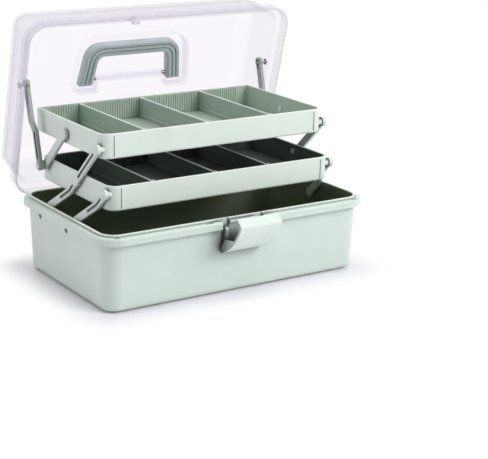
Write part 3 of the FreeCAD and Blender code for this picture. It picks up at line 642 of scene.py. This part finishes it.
@dataclass
class BaseTub:
    """Base shell with its pivot pins, hinge pins and latch pins."""

    box: Box
    rim_width: float = 8.0 * MM
    mouth_corner: float = 16.0 * MM
    skin: float = 0.3 * MM
    draft: float = math.tan(math.radians(2.3))
    floor_skip: float = 1.3 * MM
    rim_skip: float = 1.2 * MM
    lip_depth: float = 1.0 * MM
    # Shade painted into the base's creases.
    crease_shade: float = 0.3
    crease_reach: float = 5.0 * MM
    # Shade painted on the wall behind the latch.
    behind_latch: ContactShade = ContactShade(
        reach=24.0 * MM, share=0.05, half_width=LATCH_SHADE_HALF)

    def dress(self, nodes: Nodes) -> None:
        """Give the base and its pins their finishes.

        Args:
            nodes: The frame's nodes by name.
        """
        low, high = self.box
        inset = self.rim_width - self.skin
        corner = self.mouth_corner + self.skin
        # The tub's inner faces take painted shade.
        inside = Hollow(
            half_x=high.x - inset, half_y=-low.y - inset, front_corner=corner, rear_corner=corner,
            low=self.floor_skip, high=high.z - self.rim_skip, colour=Tone.TUB_INSIDE_SHADE.value,
            draft=self.draft)
        # Painted highlight along the rim's lip.
        lip = Band(Axis.Z, high.z - self.lip_depth, Tone.EDGE_HIGHLIGHT.value)
        wear(nodes, ["base_shell"], MouldedPlastic(
            "base_mint", Tone.MINT.value, crease_shade=self.crease_shade, crease_reach=self.crease_reach,
            hollow=inside, bands=(lip,), contact=self.behind_latch))
        wear(nodes, ["base_pivot_pins"], MouldedPlastic("base_pin_plastic", Tone.BASE_PIN.value))
        wear(nodes, ["lid_hinge_pins", "latch_pins"], PinSteel("pin_steel", Tone.STEEL.value))


@dataclass
class TrayTier:
    """One tray with its dividers and pins."""

    tier: str
    box: Box
    # Painted shade of the inner faces and dividers, and a painted highlight line on the dividers'
    # borders.
    inside: Colour
    divider: Colour
    frame_highlight: Colour
    window_half: float = 67.05 * MM
    window_rise: float = 6.7 * MM
    pivot_boss: float = 0.6 * MM
    front_corner: float = 12.0 * MM
    rear_corner: float = 4.0 * MM
    wall: float = 2.2 * MM
    skin: float = 0.3 * MM
    floor_skip: float = 1.0 * MM
    rim_depth: float = 0.8 * MM
    foot_height: float = 0.9 * MM
    crest_depth: float = 2.0 * MM
    dividers: int = 3
    # Shade painted beside the links and, on the dividers, near the tray walls.
    by_links: ContactShade = ContactShade(reach=5.0 * MM, share=0.25, span=(0.4, 0.92))
    in_combs: ContactShade = ContactShade(reach=4.0 * MM, share=0.2, span=(0.15, 0.6))

    def dress(self, nodes: Nodes) -> None:
        """Give the tray, its dividers and its pins their finishes.

        Args:
            nodes: The frame's nodes by name.
        """
        low, high = self.box
        half = (high - low) / 2.0
        middle_y = low.y + half.y
        inset = self.wall - self.skin
        # The tray's inner faces take painted shade.
        inside = Hollow(
            half_x=half.x - self.pivot_boss - inset, half_y=half.y - inset,
            front_corner=self.front_corner - inset, rear_corner=self.rear_corner - inset,
            low=low.z + self.floor_skip, high=high.z - self.rim_depth, colour=self.inside,
            middle_y=middle_y)
        # Painted highlight along the tray's top and bottom edges.
        rim = Band(Axis.Z, high.z - self.rim_depth, Tone.EDGE_HIGHLIGHT.value)
        foot = Band(Axis.Z, low.z + self.foot_height, Tone.EDGE_HIGHLIGHT.value, Side.UNDER)
        # The tray plastic is the base's mint painted lighter: painted light.
        wear(nodes, [f"{self.tier}_tray"], MouldedPlastic(
            f"{self.tier}_tray_plastic", Tone.LIT_TRAY_MINT.value, hollow=inside, bands=(rim, foot),
            contact=self.by_links))
        # Painted highlight lines round the divider's border and along its top edge.
        line = FrameLine(middle_y, self.window_half, low.z + self.window_rise, self.frame_highlight)
        crest = Band(Axis.Z, high.z - self.crest_depth, Tone.EDGE_HIGHLIGHT.value)
        numbers = range(1, self.dividers + 1)
        # The dividers wear a darker copy of the tray plastic: painted shade.
        wear(nodes, [f"{self.tier}_divider_{number}" for number in numbers], MouldedPlastic(
            f"{self.tier}_divider_plastic", self.divider, bands=(line, crest),
            contact=self.in_combs))
        wear(nodes, [f"{self.tier}_tray_pins"],
             MouldedPlastic(f"{self.tier}_pin_plastic", Tone.LINK.value))


@dataclass
class LinkSet:
    """All the side links of the cantilever."""

    tray_links: tuple[str, ...] = ("long_link", "front_link", "upper_rear_link")
    lid_links: tuple[str, ...] = ("lid_link",)
    sides: tuple[str, ...] = ("left", "right")
    roughness: float = 0.32
    # Shade painted into the links' creases, nearly black.
    crease_shade: float = 0.04
    crease_span: Span = (0.5, 0.95)
    # Shade painted on the links' edges that face the trays.
    beside_tray: ContactShade = ContactShade(reach=10.0 * MM, share=0.42, span=(0.4, 0.85))

    def dress(self, nodes: Nodes) -> None:
        """Give the links their finishes.

        Args:
            nodes: The frame's nodes by name.
        """
        groups = (("link_plastic", Tone.LINK, self.tray_links),
                  ("lid_link_plastic", Tone.LID_LINK, self.lid_links))
        for name, tone, kinds in groups:
            wear(nodes, [f"{kind}_{side}" for kind in kinds for side in self.sides], MouldedPlastic(
                name, tone.value, roughness=self.roughness, crease_shade=self.crease_shade,
                crease_span=self.crease_span, contact=self.beside_tray))


@dataclass
class ClearLid:
    """Clear lid with its link pins, carry handle and handle pins."""

    hinge: Span
    open_angle: float
    rim: float = 81.2 * MM
    shelf: float = 95.0 * MM
    grip_roughness: float = 0.36
    # Shade painted into the handle's grooves.
    grip_crease: float = 0.3
    grip_crease_reach: float = 1.6 * MM

    def dress(self, nodes: Nodes) -> None:
        """Give the lid, the handle and their pins their finishes.

        Args:
            nodes: The frame's nodes by name.
        """
        wear(nodes, ["lid_shell"], ClearPlastic(
            "lid_clear", Tone.CLEAR.value, Tone.MILK.value, self.hinge, self.open_angle,
            self.rim, self.shelf))
        wear(nodes, ["lid_link_pins"], MouldedPlastic("lid_pin_plastic", Tone.LID_PIN.value))
        wear(nodes, ["carry_handle"], MouldedPlastic(
            "handle_plastic", Tone.GRIP.value, roughness=self.grip_roughness,
            crease_shade=self.grip_crease, crease_reach=self.grip_crease_reach))
        wear(nodes, ["handle_pins"], PinSteel("handle_pin_steel", Tone.STEEL.value))


@dataclass
class FrontLatch:
    """Flip latch on the front of the base."""

    box: Box
    end_slack: float = 0.05 * MM
    # Shade painted inside the latch's plate and round it.
    behind_plate: ContactShade = ContactShade(
        reach=22.0 * MM, share=0.02, span=(0.5, 0.98), half_width=LATCH_SHADE_HALF)

    def dress(self, nodes: Nodes) -> None:
        """Give the latch its finish.

        Args:
            nodes: The frame's nodes by name.
        """
        _, high = self.box
        # The latch's end faces are painted darker as shade.
        shaded_ends = Band(Axis.X, high.x - self.end_slack, Tone.LATCH_END_SHADE.value, Side.OUTER)
        wear(nodes, ["front_latch"], MouldedPlastic(
            "latch_plastic", Tone.LATCH.value, bands=(shaded_ends,), contact=self.behind_plate))


@dataclass(frozen=True)
class SoftLamp:
    """Square soft lamp that faces the box."""

    name: str
    place: Place
    side: float
    watts: float

    def build(self, aim: Vector) -> None:
        """Hang the lamp.

        Args:
            aim: The point that the lamp faces.
        """
        data = bpy.data.lights.new(self.name, "AREA")
        data.size = self.side
        data.energy = self.watts
        lamp = bpy.data.objects.new(self.name, data)
        lamp.location = self.place
        lamp.rotation_euler = (aim - Vector(self.place)).to_track_quat("-Z", "Y").to_euler()
        bpy.context.scene.collection.objects.link(lamp)


@dataclass
class Studio:
    """White floor, soft lamps, sky and the photograph's camera."""

    camera_at: Place = (-0.78077, -1.25313, 0.49548)
    right: Place = (0.83215, -0.55404, 0.02387)
    up: Place = (0.14319, 0.25625, 0.95595)
    forward: Place = (0.53575, 0.79207, -0.29257)
    lens: float = 104.45
    sensor: float = 36.0
    floor_half: float = 6.0
    floor_colour: Colour = srgb(247, 245, 251)
    floor_roughness: float = 0.35
    floor_ior: float = 1.25
    foot_half: Span = (150.0 * MM, 88.0 * MM)
    shadow_span: Span = (4.0 * MM, 50.0 * MM)
    sky: float = 0.5
    gap_towards: Place = (-0.62, -0.78, 0.08)
    gap_span: Span = (0.5, 0.9)
    gap_share: float = 0.95
    lamp_aim: Place = (0.0, 0.0, 0.1)
    lamps: tuple[SoftLamp, ...] = (
        SoftLamp("key_softbox", (0.8, -1.45, 1.25), side=1.0, watts=22.5),
        SoftLamp("fill_softbox", (-1.7, 0.5, 0.9), side=1.0, watts=5.5),
        SoftLamp("top_softbox", (0.0, 0.2, 1.9), side=1.6, watts=9.0))

    def build(self) -> None:
        """Make the floor, sky, lamps and camera."""
        self.make_floor()
        self.make_sky()
        for lamp in self.lamps:
            lamp.build(Vector(self.lamp_aim))
        self.make_camera()

    def make_floor(self) -> None:
        """Large white floor that keeps the shadow near the box and fades to white."""
        mesh = bpy.data.meshes.new("studio_floor")
        shape = bmesh.new()
        bmesh.ops.create_grid(shape, x_segments=1, y_segments=1, size=self.floor_half)
        shape.to_mesh(mesh)
        shape.free()
        floor = bpy.data.objects.new("studio_floor", mesh)
        bpy.context.scene.collection.objects.link(floor)
        made, graph = start_material("floor_white")
        _, x, y, _ = graph.place()
        away = outside(x, y, *self.foot_half).ramp(*self.shadow_span)
        paper = graph.node("ShaderNodeBsdfPrincipled", None, {
            "Base Color": self.floor_colour, "Roughness": self.floor_roughness, "IOR": self.floor_ior})
        white = graph.node("ShaderNodeEmission", None, {"Color": WHITE, "Strength": 1.0})
        graph.close(graph.blend(away * graph.looked_at(), paper, white))
        mesh.materials.append(made)

    def make_sky(self) -> None:
        """White sky to look at, and a softer one to light the box, with a gap at its front left."""
        world = bpy.data.worlds.new("studio_sky")
        bpy.context.scene.world = world
        world.use_nodes = True
        graph = Graph(world.node_tree)
        looked_at = graph.looked_at()
        _, x, y, z = graph.place("Generated")
        facing = x * self.gap_towards[0] + y * self.gap_towards[1] + z * self.gap_towards[2]
        lit = (1.0 - facing.ramp(*self.gap_span) * self.gap_share) * self.sky
        strength = looked_at + (1.0 - looked_at) * lit
        sky = graph.node("ShaderNodeBackground", None, {"Color": WHITE, "Strength": strength})
        graph.node("ShaderNodeOutputWorld", None, {"Surface": sky})

    def make_camera(self) -> None:
        """Camera solved from the photograph."""
        data = bpy.data.cameras.new("photo_camera")
        data.lens = self.lens
        data.sensor_width = self.sensor
        camera = bpy.data.objects.new("photo_camera", data)
        turn = Matrix((self.right, self.up, -Vector(self.forward))).transposed()
        camera.matrix_world = Matrix.Translation(Vector(self.camera_at)) @ turn.to_4x4()
        bpy.context.scene.collection.objects.link(camera)
        bpy.context.scene.camera = camera


def main() -> None:
    """Load the frame, dress every sub-assembly and set the studio."""
    logging.basicConfig(level=logging.INFO, format="%(message)s")
    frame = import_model()
    nodes = frame["nodes"]
    bpy.context.scene.view_settings.view_transform = "Standard"
    joints = {joint["name"]: joint for joint in frame["joints"]}
    _, hinge_y, hinge_z = joints["lid_hinge"]["pos_m"]
    open_angle = math.radians(joints["lid_hinge"]["range_deg"][1])
    BaseTub(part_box("base_shell")).dress(nodes)
    TrayTier("lower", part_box("lower_tray"), Tone.LOWER_INSIDE_SHADE.value, Tone.LOWER_DIVIDER_SHADE.value,
             Tone.LOWER_FRAME_HIGHLIGHT.value).dress(nodes)
    TrayTier("upper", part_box("upper_tray"), Tone.UPPER_INSIDE_SHADE.value, Tone.UPPER_DIVIDER_SHADE.value,
             Tone.UPPER_FRAME_HIGHLIGHT.value).dress(nodes)
    LinkSet().dress(nodes)
    ClearLid((hinge_y, hinge_z), open_angle).dress(nodes)
    FrontLatch(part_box("front_latch")).dress(nodes)
    Studio().build()


if __name__ == "__main__":
    main()
